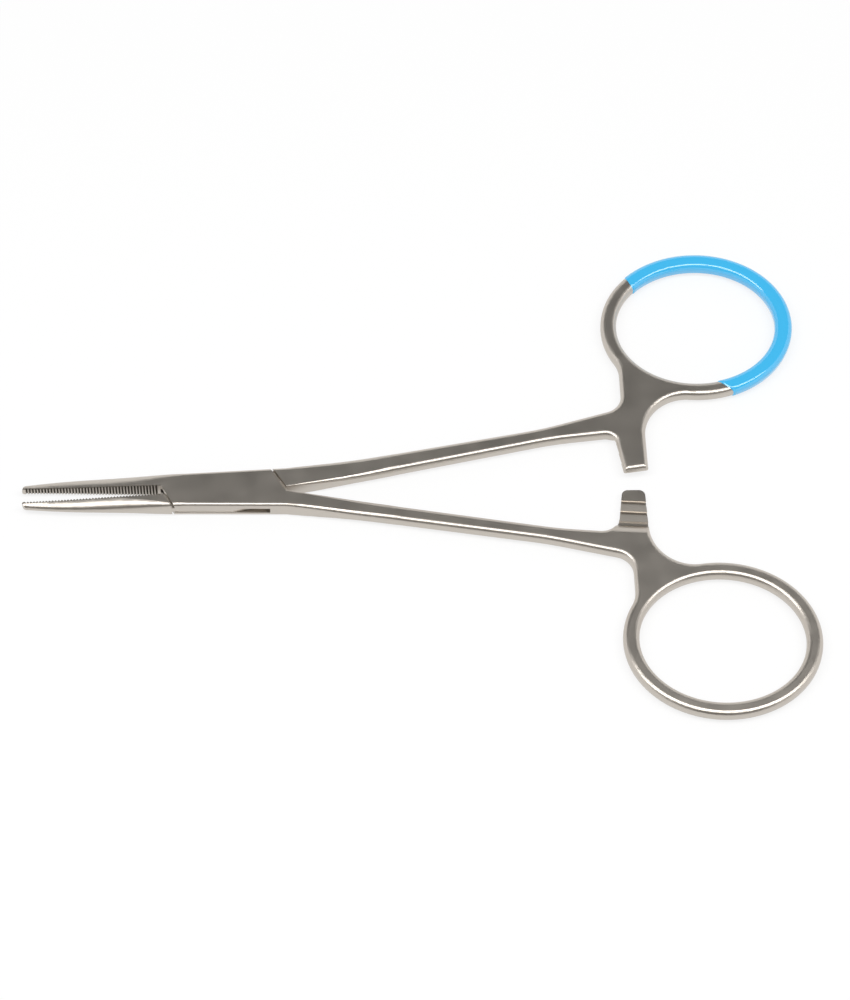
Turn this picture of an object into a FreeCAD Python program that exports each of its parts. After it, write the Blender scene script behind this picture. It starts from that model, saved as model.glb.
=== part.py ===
"""Straight fine hemostat forceps, 125 mm long, lying flat and slightly open.

X runs along the forceps, jaws at -X and finger rings at +X. Y runs from the bare ring
to the coated ring, Z is up. The origin is on the pivot axis, on the underside of the box.
Every piece is drawn about the middle plane of its thickness and lifted at the end.
Lengths are in millimetres, angles in degrees.
"""
import FreeCAD, Part

import math
import os

import Sketcher
from FreeCAD import Placement, Rotation, Vector

SIZES = {
    # box lock
    "box_thickness": 3.2,
    "box_front": -6.0,
    "box_rear": 10.0,
    "box_front_half_width": 3.03,
    "box_rear_half_width": 3.55,
    "box_edge_radius": 0.6,
    "diagonal_distance": 8.25,
    "diagonal_angle": 28.4,
    "shoulder_clearance": 0.28,
    "opening_at_rest": 3.9,
    "tenon_thickness": 1.2,
    "tenon_clearance": 0.04,
    "tenon_inset": 0.08,
    "tenon_waist": 1.4,
    "tenon_reach": 7.4,
    "tenon_reach_half_width": 2.35,
    "slot_mouth": 7.27,
    "slot_lean": 6.6,
    "pin_radius": 1.0,
    "pin_clearance": 0.03,
    # jaws
    "jaw_length": 31.9,
    "jaw_tip_half_width": 2.02,
    "jaw_tip_thickness": 1.4,
    "jaw_tip_gap": 2.18,
    "jaw_root_gap": 1.3,
    "jaw_nose_radius": 1.2,
    "jaw_nose_edge": 0.55,
    "jaw_land": 0.12,
    "groove_pitch": 0.49,
    "groove_depth": 0.24,
    "groove_land": 0.06,
    "groove_count": 43,
    "groove_start": 0.5,
    "cutter_lead": 0.02,
    # shanks
    "shank_thickness": 2.2,
    "shank_start": 28.0,
    "rim_radius": 0.85,
    "crotch_edge_radius": 0.12,
    "crotch_slope": 0.13,
    "shank_outer_bend": 51.0,
    "shank_inner_bend": 53.0,
    "shank_bend_radius": 60.0,
    # inner and outer sides of each half, ground by hand and so not quite alike
    "male_crotch": 0.05,
    "male_inner_start": 2.76,
    "male_inner_bend": 7.5,
    "male_outer_start": 6.09,
    "male_outer_bend": 9.87,
    "male_neck_foot": 13.4,
    "male_arm_root": 8.4,
    "female_crotch": 0.72,
    "female_inner_start": 3.65,
    "female_inner_bend": 8.25,
    "female_outer_start": 6.46,
    "female_outer_bend": 10.53,
    "female_neck_foot": 13.9,
    "female_arm_root": 9.2,
    # neck between shank, ratchet arm and finger ring
    "neck_left": 64.3,
    "neck_right": 67.6,
    "neck_shank_radius": 3.2,
    "neck_ring_radius": 5.0,
    "arm_ring_radius": 7.0,
    # finger rings
    "ring_place": 77.43,
    "ring_offset": 28.64,
    "ring_half_length": 14.33,
    "ring_half_width": 12.23,
    "ring_tilt": 2.5,
    "ring_bar_width": 2.55,
    # ratchet
    "male_arm_foot": 62.8,
    "male_arm_left": 63.9,
    "male_arm_right": 67.85,
    "male_arm_end": 1.5,
    "male_arm_skew": 0.5,
    "male_arm_corner": 0.35,
    "male_crotch_radius": 1.8,
    "female_arm_foot": 62.35,
    "female_arm_left": 63.45,
    "female_arm_right": 67.05,
    "female_arm_end": 1.27,
    "female_arm_skew": 0.05,
    "female_arm_corner": 1.0,
    "female_crotch_radius": 3.0,
    "arm_gap": 0.08,
    "ratchet_radius": 65.2,
    "ratchet_angle": 4.7,
    "tooth_first": 3.4,
    "tooth_pitch": 1.88,
    "tooth_count": 3,
    "tooth_height": 0.37,
    "lead_in_depth": 0.33,
    "cove_place": 7.7,
    "cove_run": 2.4,
    "cove_bulge": 0.4,
    "cove_drop": 0.05,
    "cove_left": 61.9,
    "cove_right": 69.6,
    # coating on one finger ring
    "coat_thickness": 0.15,
    "coat_clearance": 0.005,
    "coat_corner_relief": 0.12,
    "coat_start": -72.0,
    "coat_start_slant": -37.0,
    "coat_end": 142.0,
    "coat_end_slant": 124.0,
}

doc = FreeCAD.newDocument("hemostat_forceps")
sheet = doc.addObject("Spreadsheet::Sheet", "sizes")
for row, (alias, value) in enumerate(SIZES.items(), start=1):
    sheet.set("A%d" % row, alias)
    sheet.set("B%d" % row, str(value))
    sheet.setAlias("B%d" % row, alias)
doc.recompute()

OVER = 3.0  # how far a cutter runs past the piece that it cuts
SIDE = 5.0  # a half width that reaches past the box's sides
HOLD = 1.4  # how far one form runs into another that it is joined to


def size(alias):
    """The number in one cell of the sheet."""
    return float(sheet.get(alias))


def worked(expression):
    """The number that an expression on the sheet's cells gives."""
    result = sheet.evalExpression(expression)
    return float(getattr(result, "Value", result))


# Small makers: sketch, extrusion, boolean, plain shape


def polygon(name, corners):
    """A closed sketch on the middle plane; each corner is a pair of expressions."""
    sketch = doc.addObject("Sketcher::SketchObject", name)
    places = [(worked(x), worked(y)) for x, y in corners]
    count = len(corners)
    for i in range(count):
        start, end = places[i], places[(i + 1) % count]
        sketch.addGeometry(Part.LineSegment(Vector(*start, 0), Vector(*end, 0)), False)
    for i in range(count):
        sketch.addConstraint(Sketcher.Constraint("Coincident", i, 2, (i + 1) % count, 1))
    for i, (x, y) in enumerate(corners):
        for kind, expression, value in (("DistanceX", x, places[i][0]), ("DistanceY", y, places[i][1])):
            index = sketch.addConstraint(Sketcher.Constraint(kind, -1, 1, i, 1, value))
            sketch.setExpression("Constraints[%d]" % index, expression)
    return sketch


def extruded(name, sketch, length):
    """The sketch pushed up and down, half the length each way."""
    solid = doc.addObject("Part::Extrusion", name)
    solid.Base = sketch
    solid.DirMode = "Custom"
    solid.Dir = Vector(0, 0, 1)
    solid.Solid = True
    solid.Symmetric = True
    solid.setExpression("LengthFwd", length)
    return solid


def prism(name, corners, length="sizes.box_thickness + 2"):
    """A straight block over a polygon, through the whole thickness unless told."""
    return extruded(name, polygon(name + "_plan", corners), length)


def pair(kind, name, base, tool):
    """Part::Cut or Part::Common of two objects."""
    result = doc.addObject(kind, name)
    result.Base = base
    result.Tool = tool
    return result


def cut(name, base, tool):
    """The base less the tool."""
    return pair("Part::Cut", name, base, tool)


def common(name, base, tool):
    """What the base and the tool share."""
    return pair("Part::Common", name, base, tool)


def fused(name, pieces):
    """Several objects joined to one solid."""
    result = doc.addObject("Part::MultiFuse", name)
    result.Shapes = pieces
    result.Refine = True
    return result


def shaped(name, shape):
    """An object that holds a shape worked out below."""
    result = doc.addObject("Part::Feature", name)
    result.Shape = shape
    return result


def cylinder(name, radius, height):
    """A round bar on the pivot axis, centred on the middle plane."""
    bar = doc.addObject("Part::Cylinder", name)
    bar.setExpression("Radius", radius)
    bar.setExpression("Height", height)
    bar.setExpression("Placement.Base.z", "-(%s) / 2" % height)
    return bar


def rounded_outline(corners):
    """A closed wire through (x, y, radius) corners, with an arc tangent at each radius."""
    count = len(corners)
    starts, ends, arcs = [], [], {}
    for i, (x, y, radius) in enumerate(corners):
        corner = Vector(x, y, 0)
        back = (Vector(*corners[i - 1][:2], 0) - corner).normalize()
        ahead = (Vector(*corners[(i + 1) % count][:2], 0) - corner).normalize()
        half = back.getAngle(ahead) / 2
        reach = radius / math.tan(half)
        starts.append(corner + back * reach)
        ends.append(corner + ahead * reach)
        if radius > 0:
            middle = corner + (back + ahead).normalize() * (radius / math.sin(half) - radius)
            arcs[i] = Part.Arc(starts[i], middle, ends[i]).toShape()
    edges = []
    for i in range(count):
        if i in arcs:
            edges.append(arcs[i])
        following = starts[(i + 1) % count]
        if (following - ends[i]).Length > 1e-6:
            edges.append(Part.LineSegment(ends[i], following).toShape())
    return Part.Wire(edges)


def quarter(start, corner, end):
    """A quarter of an ellipse that leaves start and reaches end square to the corner's sides."""
    curve = Part.BSplineCurve()
    curve.buildFromPolesMultsKnots([start, corner, end], [3, 3], [0, 1], False, 2, [1, math.sqrt(0.5), 1])
    return curve.toShape()


def section(x, near, far, half, near_corner, far_corner):
    """A rounded rectangle across X: near and far are Y, a corner is its (Y, Z) half axes."""
    (ny, nz), (fy, fz) = near_corner, far_corner

    def at(y, z):
        return Vector(x, y, z)

    corners = (
        (at(far, half - fz), at(far, half), at(far - fy, half)),
        (at(near + ny, half), at(near, half), at(near, half - nz)),
        (at(near, nz - half), at(near, -half), at(near + ny, -half)),
        (at(far - fy, -half), at(far, -half), at(far, fz - half)),
    )
    edges = []
    for i, (start, corner, end) in enumerate(corners):
        edges.append(quarter(start, corner, end))
        edges.append(Part.LineSegment(end, corners[(i + 1) % 4][0]).toShape())
    return Part.Wire(edges)


def eased(t):
    """Zero to one with level ends."""
    t = min(1.0, max(0.0, t))
    return t * t * (3 - 2 * t)


# Lines that both halves share

MALE_TURN = "(sizes.diagonal_angle + sizes.opening_at_rest) * 1deg"
CHEEK_TURN = "sizes.diagonal_angle * 1deg"
SHOULDER = "(sizes.diagonal_distance + sizes.shoulder_clearance)"
CHEEK = "sizes.diagonal_distance"
FACE_TIP = "sizes.jaw_tip_gap / 2"
FACE_ROOT = "sizes.jaw_root_gap / 2"


def diagonal_x(distance, turn, y):
    """X where a diagonal at this distance from the pivot crosses the height y."""
    return "(%s - (%s) * sin(%s)) / cos(%s)" % (distance, y, turn, turn)


def inner_y(kind, x):
    """How far the inner side of one half lies from the middle line at x, where the box ends."""
    return "(sizes.%s_crotch + sizes.crotch_slope * (%s - sizes.box_rear))" % (kind, x)


def inner_corner(kind, distance, turn, sign):
    """X where a rear diagonal meets the inner side of the half on the side sign * Y."""
    start = "(sizes.%s_crotch - sizes.crotch_slope * sizes.box_rear)" % kind
    return "(%s - %d * sin(%s) * %s) / (cos(%s) + %d * sizes.crotch_slope * sin(%s))" % (
        distance, sign, turn, start, turn, sign, turn)


def side_y(x):
    """Half width of the box at x."""
    return ("(sizes.box_front_half_width + (sizes.box_rear_half_width - sizes.box_front_half_width)"
            " * (%s - sizes.box_front) / (sizes.box_rear - sizes.box_front))" % x)


BOX_HALF = size("box_thickness") / 2
BOX_LEAN = math.atan((size("box_rear_half_width") - size("box_front_half_width"))
                     / (size("box_rear") - size("box_front")))
BOX_CORNER = (size("box_edge_radius") / math.cos(BOX_LEAN), size("box_edge_radius"))


# Jaws and box before they are parted

JAW_STATIONS = (0.0, 0.23, 0.46, 0.69, 0.87, 1.0)  # shares of the jaw, tip to box, with a section each
JAW_ROUND_END = 0.5  # share of the jaw that is fully rounded; from there it turns to the box's form
JAW_FULLNESS = 3  # how soon the jaws widen: the power of the distance still left to the box


def front_form():
    """Both jaws as one blank: half width and thickness swell from the tips to the box."""
    tip, root = -size("jaw_length"), size("box_front")
    tip_width, root_width = size("jaw_tip_half_width"), size("box_front_half_width")
    tip_half = size("jaw_tip_thickness") / 2
    tip_gap, root_gap = size("jaw_tip_gap") / 2, size("jaw_root_gap") / 2
    land = size("jaw_land")
    wires = []
    for t in JAW_STATIONS:
        x = tip + (root - tip) * t
        width = tip_width + (root_width - tip_width) * (1 - (1 - t) ** JAW_FULLNESS)
        half = tip_half + (BOX_HALF - tip_half) * eased(t)
        blend = eased((t - JAW_ROUND_END) / (1 - JAW_ROUND_END))
        face = tip_gap + (root_gap - tip_gap) * t
        corner = ((width - face - land) * (1 - blend) + BOX_CORNER[0] * blend,
                  (half - land / 2) * (1 - blend) + BOX_CORNER[1] * blend)
        wires.append(section(x, -width, width, half, corner, corner))
    form = Part.makeLoft(wires, True, False)
    nose, edge = size("jaw_nose_radius"), size("jaw_nose_edge")
    plan = rounded_outline([(tip, -tip_width, nose), (root, -tip_width - OVER, 0),
                            (root, tip_width + OVER, 0), (tip, tip_width, nose)])
    plan = Part.Face(plan).extrude(Vector(0, 0, 2 * BOX_HALF))
    plan.translate(Vector(0, 0, -BOX_HALF))
    side = rounded_outline([(tip, -tip_half, edge), (root, -BOX_HALF - OVER, 0),
                            (root, BOX_HALF + OVER, 0), (tip, tip_half, edge)])
    side = Part.Face(side).extrude(Vector(0, 0, 4 * root_width))
    side.Placement = Placement(Vector(0, 2 * root_width, 0), Rotation(Vector(1, 0, 0), 90))
    return form.common(plan).common(side)


def long_edges(shape):
    """The indices of the edges along the box that are rounded."""
    found = []
    for index, edge in enumerate(shape.Edges, start=1):
        start, end = edge.Vertexes[0].Point, edge.Vertexes[-1].Point
        if abs(start.x - end.x) > 1 and abs(start.z - end.z) < 1e-6:
            found.append(index)
    return found


jaw_blank = shaped("jaw_blank", front_form())
box_bar = prism("box_bar", [
    ("sizes.box_front", "-sizes.box_front_half_width"),
    ("sizes.box_rear", "-sizes.box_rear_half_width"),
    ("sizes.box_rear", "sizes.box_rear_half_width"),
    ("sizes.box_front", "sizes.box_front_half_width"),
], "sizes.box_thickness")
doc.recompute()
box_blank = doc.addObject("Part::Fillet", "box_blank")
box_blank.Base = box_bar
box_edge = size("box_edge_radius")
box_blank.Edges = [(index, box_edge, box_edge) for index in long_edges(box_bar.Shape)]


# Shank roots, from the box's thickness down to the shank's

ROOT_STATIONS = (0.0, 0.17, 0.34, 0.5, 0.67, 1.0)  # shares of the root, box to shank
ROOT_THINNED = 0.67  # share of the root over which the thickness falls


def shank_slopes(kind):
    """The slopes of the inner and the outer side of one shank."""
    start = size("shank_start")
    return [(size("%s_%s_bend" % (kind, side)) - size("%s_%s_start" % (kind, side)))
            / (size("shank_%s_bend" % side) - start) for side in ("inner", "outer")]


def swept(start, end, length, slope, t):
    """A side's place at a share t of the root; it reaches its end with the shank's slope."""
    swell = slope * length / (end - start) - 1
    return start + (end - start) * (t - swell * t * (1 - t))


def shank_root(kind):
    """One root, lofted through rounded rectangles; the male half's is on the +Y side."""
    start, length = size("box_rear"), size("shank_start") - size("box_rear")
    end_half, radius = size("shank_thickness") / 2, size("rim_radius")
    root_radius = size("crotch_edge_radius")
    inner_slope, outer_slope = shank_slopes(kind)
    inner_end = radius / math.cos(math.atan(inner_slope))
    outer_end = radius / math.cos(math.atan(outer_slope))
    wires = []
    for t in ROOT_STATIONS:
        x = start + length * t
        outer = swept(size("box_rear_half_width"), size(kind + "_outer_start"), length, outer_slope, t)
        inner = swept(size(kind + "_crotch"), size(kind + "_inner_start"), length, inner_slope, t)
        half = BOX_HALF + (end_half - BOX_HALF) * eased(t / ROOT_THINNED)
        far = (BOX_CORNER[0] + (outer_end - BOX_CORNER[0]) * t, BOX_CORNER[1] + (radius - BOX_CORNER[1]) * t)
        near = (root_radius + (inner_end - root_radius) * t, root_radius + (radius - root_radius) * t)
        if kind == "male":
            wires.append(section(x, inner, outer, half, near, far))
        else:
            wires.append(section(x, -outer, -inner, half, far, near))
    return Part.makeLoft(wires, True, False)


# Handle plates: shank, neck, ratchet arm and finger ring in one forging

def ring_wire(grow):
    """The ring's oval, grown or shrunk."""
    curve = Part.Ellipse(Vector(0, 0, 0), size("ring_half_length") + grow, size("ring_half_width") + grow)
    wire = Part.Wire([curve.toShape()])
    wire.Placement = Placement(Vector(size("ring_place"), size("ring_offset"), 0),
                               Rotation(Vector(0, 0, 1), size("ring_tilt")))
    return wire


def slab(wire, thickness):
    """The wire's area pushed to a plate centred on the middle plane."""
    solid = Part.Face(wire).extrude(Vector(0, 0, thickness))
    solid.translate(Vector(0, 0, -thickness / 2))
    return solid


def upright_edge(shape, x, y):
    """The upright edge that stands nearest to (x, y)."""
    best = None
    for edge in shape.Edges:
        start, end = edge.Vertexes[0].Point, edge.Vertexes[-1].Point
        if math.hypot(start.x - end.x, start.y - end.y) > 1e-4 or abs(start.z - end.z) < 1e-4:
            continue
        away = math.hypot(start.x - x, start.y - y)
        if best is None or away < best[0]:
            best = (away, edge)
    return best[1]


def handle_plate(kind):
    """The plate with square edges, on the +Y side; kind is male or female."""
    start, bend = size("shank_start"), size("shank_inner_bend")
    left, right = size("neck_left"), size("neck_right")
    inside = size("ring_offset") - size("ring_half_width") / 2
    end, skew, corner = (size(kind + name) for name in ("_arm_end", "_arm_skew", "_arm_corner"))
    arm_left, arm_right = size(kind + "_arm_left"), size(kind + "_arm_right")
    outline = rounded_outline([
        (start, size(kind + "_outer_start"), 0),
        (size("shank_outer_bend"), size(kind + "_outer_bend"), size("shank_bend_radius")),
        (left, size(kind + "_neck_foot"), size("neck_shank_radius")),
        (left, inside, 0),
        (right, inside, 0),
        (arm_right, end + skew, corner),
        (arm_left, end, corner),
        (size(kind + "_arm_foot"), size(kind + "_arm_root"), size(kind + "_crotch_radius")),
        (bend, size(kind + "_inner_bend"), size("shank_bend_radius")),
        (start, size(kind + "_inner_start"), 0),
    ])
    thickness, half_bar = size("shank_thickness"), size("ring_bar_width") / 2
    plate = slab(outline, thickness).fuse(slab(ring_wire(half_bar), thickness)).removeSplitter()
    for x, radius in ((left, size("neck_ring_radius")), (right, size("arm_ring_radius"))):
        along = (x - size("ring_place")) / (size("ring_half_length") + half_bar)
        y = size("ring_offset") - (size("ring_half_width") + half_bar) * math.sqrt(1 - along ** 2)
        plate = plate.makeFillet(radius, [upright_edge(plate, x, y)])
    return plate.cut(slab(ring_wire(-half_bar), thickness)).Solids[0]


def rim(shape):
    """Index and both radii of each rim edge, without those where the shank meets its root."""
    radius = size("rim_radius")
    found = []
    for index, edge in enumerate(shape.Edges, start=1):
        start, end = edge.firstVertex(True).Point, edge.lastVertex(True).Point
        level = abs(start.z - end.z) < 1e-6
        at_root = max(abs(start.x - size("shank_start")), abs(end.x - size("shank_start"))) < 1e-4
        if level and not at_root:
            found.append((index, radius, radius))
    return found


def rounded_handle(kind, sign):
    """The plate with its rims rounded, mirrored to the side sign * Y."""
    square = shaped(kind + "_plate", handle_plate(kind))
    rounding = doc.addObject("Part::Fillet", kind + "_rounded_plate")
    rounding.Base = square
    rounding.Edges = rim(square.Shape)
    if sign > 0:
        return rounding
    mirrored = doc.addObject("Part::Mirroring", kind + "_handle")
    mirrored.Source = rounding
    mirrored.Base = Vector(0, 0, 0)
    mirrored.Normal = Vector(0, 1, 0)
    return mirrored


# Cutters for the box lock, the jaws' grooves and the ratchet


def groove_cutter(sign):
    """A saw-edged block that leaves cross grooves in one jaw's face, on the side sign * Y."""
    root_y = size("jaw_root_gap") / 2
    tip = Vector(-size("jaw_length"), size("jaw_tip_gap") / 2, 0)
    root = Vector(worked(diagonal_x("-" + CHEEK, CHEEK_TURN, FACE_ROOT)), root_y, 0)
    along = (root - tip).normalize()
    inward = Vector(-along.y, along.x, 0)
    pitch, land = size("groove_pitch"), size("groove_land")
    clear = inward * -size("cutter_lead")
    points = []
    for i in range(int(size("groove_count"))):
        start = tip + along * (size("groove_start") + i * pitch)
        points.append(start + clear)
        points.append(start + along * ((pitch - land) / 2) + inward * size("groove_depth"))
        points.append(start + along * (pitch - land) + clear)
    points.append(points[-1] - inward * root_y / 2)
    points.append(points[0] - inward * root_y / 2)
    block = Part.Face(Part.makePolygon(points + points[:1])).extrude(Vector(0, 0, 2 * BOX_HALF))
    block.translate(Vector(0, 0, -BOX_HALF))
    return block if sign > 0 else block.mirror(Vector(0, 0, 0), Vector(0, 1, 0))


def ratchet_cutter(kind):
    """What is milled off one arm, male from below, female from above: teeth, lead-in and cove."""
    crest = size("arm_gap") / 2
    valley = crest + size("tooth_height")
    floor = -size("shank_thickness") / 2
    past_end = -1.0
    first, pitch, count = size("tooth_first"), size("tooth_pitch"), int(size("tooth_count"))
    offset = size("ratchet_radius") * math.sin(math.radians(size("ratchet_angle")))
    lead_in = size("lead_in_depth") * (first - past_end) / first
    points = [(past_end, floor - OVER), (past_end, crest + lead_in)]
    for i in range(count):
        points += [(first + i * pitch, crest), (first + i * pitch, valley)]
    cove, run = size("cove_place"), size("cove_run")
    points.append((cove, valley))

    def at(y, z):
        return Vector(size("cove_left"), y - offset, z)

    edges = [Part.LineSegment(at(*a), at(*b)).toShape() for a, b in zip(points, points[1:])]
    end = at(cove + run, floor - size("cove_drop"))
    middle = (at(cove, valley) + end) * 0.5 + Vector(0, -1, -1).normalize() * size("cove_bulge")
    edges.append(Part.Arc(at(cove, valley), middle, end).toShape())
    edges.append(Part.LineSegment(end, at(cove + run, floor - OVER)).toShape())
    edges.append(Part.LineSegment(at(cove + run, floor - OVER), at(*points[0])).toShape())
    length = size("cove_right") - size("cove_left")
    block = Part.Face(Part.Wire(edges)).extrude(Vector(length, 0, 0))
    block.rotate(Vector(0, 0, 0), Vector(0, 0, 1), size("ratchet_angle"))
    if kind == "female":
        block.rotate(Vector(0, 0, 0), Vector(1, 0, 0), 180)
    return block


slot_edge = "(sizes.box_rear_half_width + sizes.cutter_lead)"
slot_far = "(sizes.slot_mouth + sizes.slot_lean)"
slot = prism("slot", [("-sizes.slot_mouth", slot_edge), (slot_far, slot_edge),
                      ("sizes.slot_mouth", "-" + slot_edge), ("-" + slot_far, "-" + slot_edge)],
             "sizes.tenon_thickness + 2 * sizes.tenon_clearance")
beyond_tip = "-sizes.jaw_length - %g" % OVER
beyond_box = "(sizes.box_rear + %g)" % OVER
beyond_side = "%g" % SIDE


# Female half: far jaw, box with its two cheeks, near shank and bare ring

cheek_inner = inner_corner("female", CHEEK, CHEEK_TURN, -1)
female_front = prism("female_front", [
    (beyond_tip, FACE_TIP),
    ("-sizes.jaw_length", FACE_TIP),
    (diagonal_x("-" + CHEEK, CHEEK_TURN, FACE_ROOT), FACE_ROOT),
    (diagonal_x("-" + CHEEK, CHEEK_TURN, "-" + beyond_side), "-" + beyond_side),
    (beyond_tip, "-" + beyond_side),
])
female_rear = prism("female_rear", [
    (cheek_inner, "-" + inner_y("female", cheek_inner)),
    (beyond_box, "-" + inner_y("female", beyond_box)),
    (beyond_box, beyond_side),
    (diagonal_x(CHEEK, CHEEK_TURN, beyond_side), beyond_side),
])
blank = fused("blank", [jaw_blank, box_blank])
parted = cut("female_parted", cut("female_without_front", blank, female_front), female_rear)
female_ratchet = shaped("female_ratchet", ratchet_cutter("female"))
female_handle = cut("female_toothed_handle", rounded_handle("female", -1), female_ratchet)
female_forging = fused("female_forging", [parted, shaped("female_root", shank_root("female")), female_handle])
female_slotted = cut("female_slotted", female_forging, slot)
pin_seat = cylinder("pin_seat", "sizes.pin_radius", "sizes.box_thickness + 1")
female_bored = cut("female_bored", female_slotted, pin_seat)
female_half = cut("female_half", female_bored, shaped("female_grooves", groove_cutter(1)))


# Male half: near jaw, thin tenon through the slot, far shank and coated ring

shoulder_inner = inner_corner("male", SHOULDER, MALE_TURN, 1)
male_front = prism("male_front", [
    (beyond_tip, "-" + FACE_TIP),
    ("-sizes.jaw_length", "-" + FACE_TIP),
    (diagonal_x("-" + SHOULDER, MALE_TURN, "-" + FACE_ROOT), "-" + FACE_ROOT),
    (diagonal_x("-" + SHOULDER, MALE_TURN, "-" + beyond_side), "-" + beyond_side),
    (beyond_tip, "-" + beyond_side),
])
male_rear = prism("male_rear", [
    (shoulder_inner, inner_y("male", shoulder_inner)),
    (beyond_box, inner_y("male", beyond_box)),
    (beyond_box, beyond_side),
    (diagonal_x(SHOULDER, MALE_TURN, beyond_side), beyond_side),
])
front_side = "(sizes.box_front_half_width - 2 * sizes.tenon_inset)"
front_shoulder = diagonal_x("-" + SHOULDER, MALE_TURN, "-" + front_side)
front_corner = diagonal_x("-" + SHOULDER, MALE_TURN, "-" + FACE_ROOT)
rear_side = "(%s - 2 * sizes.tenon_inset)" % side_y("sizes.box_rear * 0.75")
rear_shoulder = diagonal_x(SHOULDER, MALE_TURN, rear_side)
waist_side = "(%s - sizes.tenon_inset)"
hold, half_hold = "%g" % HOLD, "%g" % (HOLD / 2)
tenon = prism("tenon", [
    ("%s - %s" % (front_shoulder, hold), "-%s + %s" % (front_side, half_hold)),
    (front_shoulder, "-" + front_side),
    ("sizes.tenon_waist", "-" + waist_side % side_y("sizes.tenon_waist")),
    ("sizes.tenon_reach", "-sizes.tenon_reach_half_width"),
    (shoulder_inner, inner_y("male", shoulder_inner)),
    ("%s + %s" % (shoulder_inner, hold), "%s + %s" % (inner_y("male", shoulder_inner), half_hold)),
    ("%s + %s" % (rear_shoulder, hold), "%s - %s" % (rear_side, half_hold)),
    (rear_shoulder, rear_side),
    ("-sizes.tenon_waist", waist_side % side_y("-sizes.tenon_waist")),
    ("-sizes.tenon_reach", "sizes.tenon_reach_half_width"),
    (front_corner, "-" + FACE_ROOT),
    ("%s - %s" % (front_corner, hold), "-%s - %s" % (FACE_ROOT, half_hold)),
], "sizes.tenon_thickness")
male_ratchet = shaped("male_ratchet", ratchet_cutter("male"))
male_handle = cut("male_toothed_handle", rounded_handle("male", 1), male_ratchet)
male_forging = fused("male_forging", [
    common("male_jaw", jaw_blank, male_front),
    common("male_shoulder", box_blank, male_rear),
    tenon,
    shaped("male_root", shank_root("male")),
    male_handle,
])
pin_bore = cylinder("pin_bore", "sizes.pin_radius + sizes.pin_clearance", "sizes.box_thickness + 1")
male_bored = cut("male_bored", male_forging, pin_bore)
male_half = cut("male_half", male_bored, shaped("male_grooves", groove_cutter(-1)))


# Pivot pin, riveted in both cheeks and ground flush

pivot_pin = cylinder("pivot_pin", "sizes.pin_radius", "sizes.box_thickness")


# Coating dipped over part of the far ring


def ring_bar(grow, relief=0.0):
    """The ring alone, its bar grown all round; relief makes its rounding smaller."""
    half_bar, thickness = size("ring_bar_width") / 2 + grow, size("shank_thickness") + 2 * grow
    bar = slab(ring_wire(half_bar), thickness)
    bar = bar.cut(slab(ring_wire(-half_bar), thickness))
    rims = [edge for edge in bar.Edges if edge.isClosed()]
    return bar.makeFillet(size("rim_radius") + grow - relief, rims)


def on_ring(turn):
    """The point of the bar's middle line that is seen from the ring's centre under this angle."""
    along, across = math.cos(math.radians(turn)), math.sin(math.radians(turn))
    reach = 1 / math.hypot(along / size("ring_half_length"), across / size("ring_half_width"))
    return Vector(size("ring_place") + reach * along, size("ring_offset") + reach * across, 0)


def coat():
    """A skin round the ring's bar that ends at two slanted lines, as a dip leaves it."""
    start, end = on_ring(size("coat_start")), on_ring(size("coat_end"))
    start_line, end_line = (Vector(math.cos(math.radians(size(name))), math.sin(math.radians(size(name))), 0)
                            for name in ("coat_start_slant", "coat_end_slant"))
    apart = (end - start).cross(end_line).z / start_line.cross(end_line).z
    meeting = start + start_line * apart
    reach = 2 * size("ring_half_length")
    far = Vector(size("ring_place") + reach, size("ring_offset") + reach, 0)
    dipped = Part.makePolygon([meeting, start + start_line * reach, far, end + end_line * reach, meeting])
    skin = ring_bar(size("coat_thickness")).common(slab(dipped, 2 * BOX_HALF))
    return skin.cut(ring_bar(size("coat_clearance"), size("coat_corner_relief")))


ring_coating = shaped("ring_coating", coat())


# Lift every piece so that the underside of the box is at zero, then check and write

PIECES = (female_half, male_half, pivot_pin, ring_coating)
for piece in (female_half, male_half, ring_coating):
    piece.setExpression("Placement.Base.z", "sizes.box_thickness / 2")
pivot_pin.setExpression("Placement.Base.z", "0")
doc.recompute()

for thing in doc.Objects:
    if "Invalid" in thing.State or "Error" in thing.State:
        raise RuntimeError("%s could not be built: %s" % (thing.Name, thing.State))
for piece in PIECES:
    if piece.Shape.isNull() or not piece.Shape.isValid():
        raise RuntimeError("%s has no valid shape" % piece.Label)

os.makedirs("parts", exist_ok=True)
for piece in PIECES:
    box = piece.Shape.BoundBox
    print("%-14s %d solid, %7.2f mm3, x %.2f to %.2f, y %.2f to %.2f, z %.2f to %.2f" % (
        piece.Label, len(piece.Shape.Solids), piece.Shape.Volume,
        box.XMin, box.XMax, box.YMin, box.YMax, box.ZMin, box.ZMax))
    piece.Shape.exportStep("parts/%s.step" % piece.Label)
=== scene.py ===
"""Straight fine hemostat forceps lying open on a white table, dressed for its picture.

Everything is in metres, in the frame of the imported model: X runs towards the finger rings,
Y towards the coated ring, Z is up, and the origin is on the pivot's axis at the underside
of the box. Sizes that belong to the tool are written in millimetres and multiplied by MM.
"""

import math

import bpy
import numpy as np
from mathutils import Matrix, Vector


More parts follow.
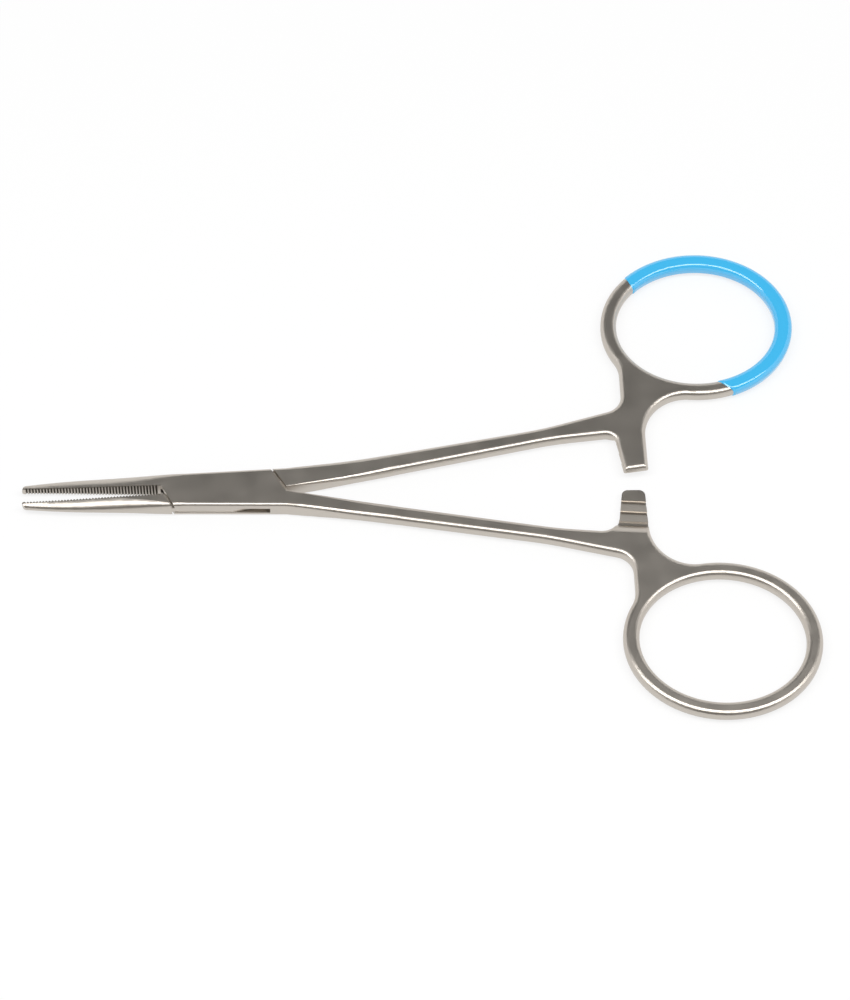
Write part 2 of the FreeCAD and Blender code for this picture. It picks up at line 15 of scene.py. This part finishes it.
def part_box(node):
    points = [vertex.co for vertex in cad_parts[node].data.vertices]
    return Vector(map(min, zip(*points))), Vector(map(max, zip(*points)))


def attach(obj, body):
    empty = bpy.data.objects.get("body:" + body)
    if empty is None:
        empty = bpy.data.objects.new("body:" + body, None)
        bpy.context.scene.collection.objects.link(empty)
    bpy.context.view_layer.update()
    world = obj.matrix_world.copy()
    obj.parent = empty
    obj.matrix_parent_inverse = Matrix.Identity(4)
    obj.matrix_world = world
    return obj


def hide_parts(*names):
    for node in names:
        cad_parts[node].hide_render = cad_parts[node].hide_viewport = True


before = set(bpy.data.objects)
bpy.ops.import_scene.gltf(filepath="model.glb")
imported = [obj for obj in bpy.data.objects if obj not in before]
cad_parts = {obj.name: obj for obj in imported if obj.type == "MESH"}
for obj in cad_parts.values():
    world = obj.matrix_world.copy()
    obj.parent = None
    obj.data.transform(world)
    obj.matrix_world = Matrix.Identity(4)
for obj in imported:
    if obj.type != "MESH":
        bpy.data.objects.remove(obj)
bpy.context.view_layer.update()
MM = 0.001


# Small helpers


def linear(hex_colour):
    """An sRGB hex colour as linear red, green, blue and alpha."""
    values = [int(hex_colour[i:i + 2], 16) / 255 for i in (1, 3, 5)]
    return [v / 12.92 if v <= 0.04045 else ((v + 0.055) / 1.055) ** 2.4 for v in values] + [1.0]


def node(tree, kind, settings=None, **inputs):
    """Adds one node; an input is a value or another node's output socket."""
    made = tree.nodes.new(kind)
    for name, value in (settings or {}).items():
        setattr(made, name, value)
    for name, value in inputs.items():
        socket = made.inputs[int(name[1:])] if name[0] == "_" else made.inputs[name.replace("_", " ")]
        if isinstance(value, bpy.types.NodeSocket):
            tree.links.new(value, socket)
        else:
            socket.default_value = value
    return made


def empty_material(name):
    """A material and its tree, without any node."""
    made = bpy.data.materials.new(name)
    made.use_nodes = True
    made.node_tree.nodes.clear()
    return made, made.node_tree


def new_material(name):
    """A material with its tree, its Principled shader and its output joined."""
    made, tree = empty_material(name)
    shader = node(tree, "ShaderNodeBsdfPrincipled")
    output = node(tree, "ShaderNodeOutputMaterial")
    tree.links.new(shader.outputs["BSDF"], output.inputs["Surface"])
    return made, tree, shader


def piece_from_grid(name, points, material):
    """A closed piece from an array (rows, columns, 3) whose rows and columns both close."""
    rows, columns = points.shape[:2]
    index = np.arange(rows * columns).reshape(rows, columns)
    down, across = np.roll(index, -1, 0), np.roll(index, -1, 1)
    corner = np.roll(down, -1, 1)
    faces = np.stack([index, down, corner, across], -1).reshape(-1, 4)
    mesh = bpy.data.meshes.new(name)
    mesh.from_pydata(points.reshape(-1, 3).tolist(), [], faces.tolist())
    mesh.shade_smooth()
    mesh.materials.append(material)
    piece = bpy.data.objects.new(name, mesh)
    bpy.context.scene.collection.objects.link(piece)
    return piece


# Materials


# The constants below place the painted shade in the jaws' grooves
# A jaw's grooved face: where it runs along x, its |y| at both ends, and the grooves' depth
JAW_TIP_X, JAW_ROOT_X = -31.9, -9.7
FACE_AT_TIP, FACE_AT_ROOT = 1.09, 0.65
GROOVE_DEPTH = 0.24
DARKEST_DEPTH = 0.168
BEHIND_GROOVES, BEHIND_ROOT = 0.06, 0.3  # the runs over which the shade fades past the grooves


def painted_groove_shade_and_dullness(tree, place):
    """Painted shade, and duller steel, in the jaws' cross grooves: nought on the steel's outside, one at the
    bottom of the grooves.

    The depth below a jaw's face is |y| less the face's own |y|, a straight line in x.
    """
    slope = (FACE_AT_ROOT - FACE_AT_TIP) / (JAW_ROOT_X - JAW_TIP_X)
    axes = node(tree, "ShaderNodeSeparateXYZ", Vector=place)
    off_middle = node(tree, "ShaderNodeMath", {"operation": "ABSOLUTE"}, _0=axes.outputs["Y"])
    face = node(tree, "ShaderNodeMath", {"operation": "MULTIPLY_ADD"}, _0=axes.outputs["X"], _1=slope,
                _2=(FACE_AT_TIP - slope * JAW_TIP_X) * MM)
    depth = node(tree, "ShaderNodeMath", {"operation": "SUBTRACT"}, _0=off_middle.outputs["Value"],
                 _1=face.outputs["Value"])
    falling = node(tree, "ShaderNodeMapRange", Value=depth.outputs["Value"],
                   _1=0.0, _2=DARKEST_DEPTH * MM, _3=0.0, _4=1.0)
    ending = node(tree, "ShaderNodeMapRange", Value=depth.outputs["Value"],
                  _1=GROOVE_DEPTH * MM, _2=(GROOVE_DEPTH + BEHIND_GROOVES) * MM, _3=1.0, _4=0.0)
    on_jaw = node(tree, "ShaderNodeMapRange", Value=axes.outputs["X"],
                  _1=(JAW_ROOT_X - BEHIND_ROOT) * MM, _2=JAW_ROOT_X * MM, _3=1.0, _4=0.0)
    inside = node(tree, "ShaderNodeMath", {"operation": "MULTIPLY"}, _0=falling.outputs["Result"],
                  _1=ending.outputs["Result"])
    share = node(tree, "ShaderNodeMath", {"operation": "MULTIPLY"}, _0=inside.outputs["Value"],
                 _1=on_jaw.outputs["Result"])
    return share.outputs["Value"]


CLOUD = 3.5
EVEN_NOISE = (0.3, 0.7)
SATIN_ROUGHNESS = (0.33, 0.37)
DULLER_IN_GROOVES = 0.25


def satin_steel():
    """Martensitic stainless steel, glass-bead blasted and brushed to a satin.

    To the eye: warm grey, soft highlights and faint cloudy patches where the brushing pressed harder. In the
    jaws' grooves the colour darkens as a painted shade, and the steel is duller there, where no brush
    reaches.
    """
    made, tree, shader = new_material("satin_stainless_steel")
    shader.inputs["Metallic"].default_value = 1.0
    place = node(tree, "ShaderNodeTexCoord").outputs["Object"]
    painted_shade_and_dullness = painted_groove_shade_and_dullness(tree, place)
    # Painted shade: the base colour darkens to #6A645C towards the grooves' bottoms
    steel_with_painted_groove_shade = node(tree, "ShaderNodeMix", {"data_type": "RGBA"}, _0=painted_shade_and_dullness,
                _6=linear("#C7C0B7"), _7=linear("#6A645C"))
    tree.links.new(steel_with_painted_groove_shade.outputs[2], shader.inputs["Base Color"])
    cloud = node(tree, "ShaderNodeTexNoise", Vector=place, Scale=1 / (CLOUD * MM), Detail=3.0)
    rough = node(tree, "ShaderNodeMapRange", Value=cloud.outputs["Fac"], _1=EVEN_NOISE[0],
                 _2=EVEN_NOISE[1], _3=SATIN_ROUGHNESS[0], _4=SATIN_ROUGHNESS[1])
    # The same mask also raises the roughness in the grooves
    dull = node(tree, "ShaderNodeMath", {"operation": "MULTIPLY_ADD"}, _0=painted_shade_and_dullness, _1=DULLER_IN_GROOVES,
                _2=rough.outputs["Result"])
    tree.links.new(dull.outputs["Value"], shader.inputs["Roughness"])
    return made


def blue_plastic():
    """Soft vinyl, dipped: light blue, even, wet-looking gloss."""
    made, tree, shader = new_material("dipped_blue_vinyl")
    shader.inputs["Base Color"].default_value = linear("#45BDF2")
    shader.inputs["Roughness"].default_value = 0.12
    shader.inputs["IOR"].default_value = 1.54
    shader.inputs["Coat Weight"].default_value = 1.0
    shader.inputs["Coat Roughness"].default_value = 0.06
    return made


STEEL = satin_steel()
BLUE = blue_plastic()


# Forged halves and the pin


for name in ("female_half", "male_half", "pivot_pin"):
    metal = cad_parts[name].data
    metal.materials.clear()
    metal.materials.append(STEEL)


# Coating on the far finger ring

RING_CENTRE = (77.43, 28.64)
RING_HALF_LENGTH, RING_HALF_WIDTH = 14.33, 12.23
RING_TILT = math.radians(2.5)
BAR_HALF_WIDTH, BAR_HALF_HEIGHT, BAR_ROUND = 1.275, 1.1, 0.85
COAT_THICKNESS = 0.15
COAT_START, START_SLANT = math.radians(-72), math.tan(math.radians(35))
COAT_END, END_SLANT = math.radians(142), math.tan(math.radians(-18))
COAT_LIP = 0.4
INTO_BAR = 0.02
STEPS_ALONG, STEPS_ROUND = 220, 13


def along_oval(seen_angle):
    """The oval's own parameter at the point seen from its centre under this angle."""
    turn = seen_angle - RING_TILT
    return math.atan2(RING_HALF_LENGTH * math.sin(turn), RING_HALF_WIDTH * math.cos(turn))


def coating():
    """A skin swept round the ring's bar.

    Rows run along the ring on the outer wall and back on the inner one; columns run round
    the bar's rounded section. The outer wall stands off the bar by the coat's thickness and
    falls to the inner wall over the lip at both ends like a quarter of an ellipse. Both ends
    are slanted: the start and the end shift along the ring in step with the place across it.
    """
    low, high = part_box("ring_coating")
    middle = (low[2] + high[2]) / 2 / MM
    radius = (RING_HALF_LENGTH + RING_HALF_WIDTH) / 2
    run = np.linspace(0, 1, STEPS_ALONG)
    run = np.concatenate([run, run[::-1]])[:, None]
    corner = np.linspace(0, math.pi / 2, STEPS_ROUND)
    around = np.concatenate([corner + k * math.pi / 2 for k in range(4)])
    side = np.repeat([1, -1, -1, 1], STEPS_ROUND)
    top = np.repeat([1, 1, -1, -1], STEPS_ROUND)
    flat_across = side * (BAR_HALF_WIDTH - BAR_ROUND)
    slant = (flat_across + BAR_ROUND * np.cos(around)) / radius
    start = along_oval(COAT_START) + slant * START_SLANT
    end = along_oval(COAT_END) + slant * END_SLANT
    turn = start + (end - start) * run
    to_end = np.minimum(run, 1 - run) * (end - start) * radius
    lip = np.sqrt(1 - (1 - np.clip(to_end / COAT_LIP, 0, 1)) ** 2)
    outer_wall = (np.arange(2 * STEPS_ALONG) < STEPS_ALONG)[:, None]
    stand = np.where(outer_wall, (COAT_THICKNESS + INTO_BAR) * lip, 0) - INTO_BAR
    reach = BAR_ROUND + stand
    across = flat_across + reach * np.cos(around)
    height = top * (BAR_HALF_HEIGHT - BAR_ROUND) + reach * np.sin(around)
    u = (RING_HALF_LENGTH + across) * np.cos(turn)
    v = (RING_HALF_WIDTH + across) * np.sin(turn)
    x = RING_CENTRE[0] + u * math.cos(RING_TILT) - v * math.sin(RING_TILT)
    y = RING_CENTRE[1] + u * math.sin(RING_TILT) + v * math.cos(RING_TILT)
    points = np.stack([x, y, middle + height], -1) * MM
    skin = piece_from_grid("ring_coating_skin", points, BLUE)
    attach(skin, "male body")
    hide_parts("ring_coating")


coating()


# Table, light and camera


def board(name, size, place, material):
    """A flat rectangle of the studio, which stays out of the part."""
    mesh = bpy.data.meshes.new(name)
    w, d = size[0] / 2, size[1] / 2
    mesh.from_pydata([(-w, -d, 0), (w, -d, 0), (w, d, 0), (-w, d, 0)], [], [(0, 1, 2, 3)])
    mesh.materials.append(material)
    made = bpy.data.objects.new(name, mesh)
    bpy.context.scene.collection.objects.link(made)
    made.location = place
    return made


def flag(name, size, place, colour):
    """A card overhead that shows in polished surfaces and nowhere else."""
    made, tree = empty_material(name)
    glow = node(tree, "ShaderNodeEmission", Color=linear(colour), Strength=1.0)
    output = node(tree, "ShaderNodeOutputMaterial")
    tree.links.new(glow.outputs["Emission"], output.inputs["Surface"])
    card = board(name, size, place, made)
    card.visible_camera = False
    card.visible_diffuse = False
    card.visible_transmission = False
    card.visible_shadow = False


def seen(tree, amount):
    """The amount for camera, glossy and transmission rays, nought for the rest."""
    path = node(tree, "ShaderNodeLightPath")
    first = node(tree, "ShaderNodeMath", {"operation": "MAXIMUM"},
                 _0=path.outputs["Is Camera Ray"], _1=path.outputs["Is Glossy Ray"])
    both = node(tree, "ShaderNodeMath", {"operation": "MAXIMUM"},
                _0=first.outputs["Value"], _1=path.outputs["Is Transmission Ray"])
    share = node(tree, "ShaderNodeMath", {"operation": "MULTIPLY"}, _0=both.outputs["Value"], _1=amount)
    return share.outputs["Value"]


TABLE_WIDTH = 6.0
PAPER_SHARE = 0.78


def table():
    """A matt white table; where the camera or a reflection looks, it is nearly paper white."""
    made, tree = empty_material("matt_white_table")
    matt = node(tree, "ShaderNodeBsdfDiffuse", Color=linear("#F8F8F8"))
    paper = node(tree, "ShaderNodeEmission", Color=linear("#FFFFFF"), Strength=1.0)
    mixed = node(tree, "ShaderNodeMixShader", _0=seen(tree, PAPER_SHARE), _1=matt.outputs["BSDF"],
                 _2=paper.outputs["Emission"])
    output = node(tree, "ShaderNodeOutputMaterial")
    tree.links.new(mixed.outputs["Shader"], output.inputs["Surface"])
    board("table", (TABLE_WIDTH, TABLE_WIDTH), (0, 0, 0), made)


def surroundings():
    """A white room: strength 1 where it is looked at or mirrored, half that as light."""
    world = bpy.data.worlds.new("white_room")
    bpy.context.scene.world = world
    world.use_nodes = True
    tree = world.node_tree
    tree.nodes.clear()
    strength = node(tree, "ShaderNodeMath", {"operation": "ADD"}, _0=seen(tree, 0.5), _1=0.5)
    glow = node(tree, "ShaderNodeBackground", Color=linear("#FFFFFF"), Strength=strength.outputs["Value"])
    output = node(tree, "ShaderNodeOutputWorld")
    tree.links.new(glow.outputs["Background"], output.inputs["Surface"])


def softbox(name, size, place, power):
    """A flat lamp with a cloth front, looking straight down."""
    lamp = bpy.data.lights.new(name, "AREA")
    lamp.shape = "RECTANGLE"
    lamp.size, lamp.size_y = size
    lamp.energy = power
    box = bpy.data.objects.new(name, lamp)
    bpy.context.scene.collection.objects.link(box)
    box.location = place


# The softbox and both flags lie side by side at one height, from the front flag's far
# side to FLAG_FAR along y; the softbox and the front flag are centred on MIDDLE_X
CEILING = 0.6
FRONT_EDGE, BACK_EDGE, FLAG_FAR = -0.19, 0.02, 0.75
FLAG_LEFT, FLAG_RIGHT = -0.6, 0.65
FRONT_FLAG = 1.6
MIDDLE_X = 0.03
SOFTBOX_WIDTH = 1.0
SOFTBOX_WATTS = 3.1


def lights():
    """A softbox overhead, a dark flag behind it and a grey one in front."""
    softbox("softbox", (SOFTBOX_WIDTH, BACK_EDGE - FRONT_EDGE),
            (MIDDLE_X, (BACK_EDGE + FRONT_EDGE) / 2, CEILING), SOFTBOX_WATTS)
    flag("back_flag", (FLAG_RIGHT - FLAG_LEFT, FLAG_FAR - BACK_EDGE),
         ((FLAG_RIGHT + FLAG_LEFT) / 2, (FLAG_FAR + BACK_EDGE) / 2, CEILING), "#383938")
    flag("front_flag", (FRONT_FLAG, FRONT_FLAG), (MIDDLE_X, FRONT_EDGE - FRONT_FLAG / 2, CEILING), "#57544F")


ELEVATION, AZIMUTH, ROLL = math.radians(61), math.radians(-4), math.radians(2)
DISTANCE = 0.588
AIM = Vector((0.03203, -0.00136, 0))
SCALE_AT_AIM = 6.2735  # pixels a millimetre
PICTURE_HEIGHT = 1000


def camera():
    """The picture's camera: above the near side, turned and rolled a little."""
    back = Vector((math.sin(AZIMUTH) * math.cos(ELEVATION), -math.cos(AZIMUTH) * math.cos(ELEVATION),
                   math.sin(ELEVATION)))
    level = Vector((math.cos(AZIMUTH), math.sin(AZIMUTH), 0))
    rise = back.cross(level)
    right = level * math.cos(ROLL) + rise * math.sin(ROLL)
    up = rise * math.cos(ROLL) - level * math.sin(ROLL)
    lens = bpy.data.cameras.new("picture_camera")
    lens.sensor_fit = "VERTICAL"
    lens.sensor_height = 36.0
    focal_pixels = SCALE_AT_AIM * DISTANCE / MM
    lens.lens = focal_pixels / PICTURE_HEIGHT * lens.sensor_height
    lens.clip_start, lens.clip_end = 0.01, 20.0
    made = bpy.data.objects.new("picture_camera", lens)
    bpy.context.scene.collection.objects.link(made)
    turned = Matrix((right, up, back)).transposed().to_4x4()
    made.matrix_world = Matrix.Translation(AIM + back * DISTANCE) @ turned
    bpy.context.scene.camera = made


table()
surroundings()
lights()
camera()
bpy.context.scene.view_settings.view_transform = "Standard"
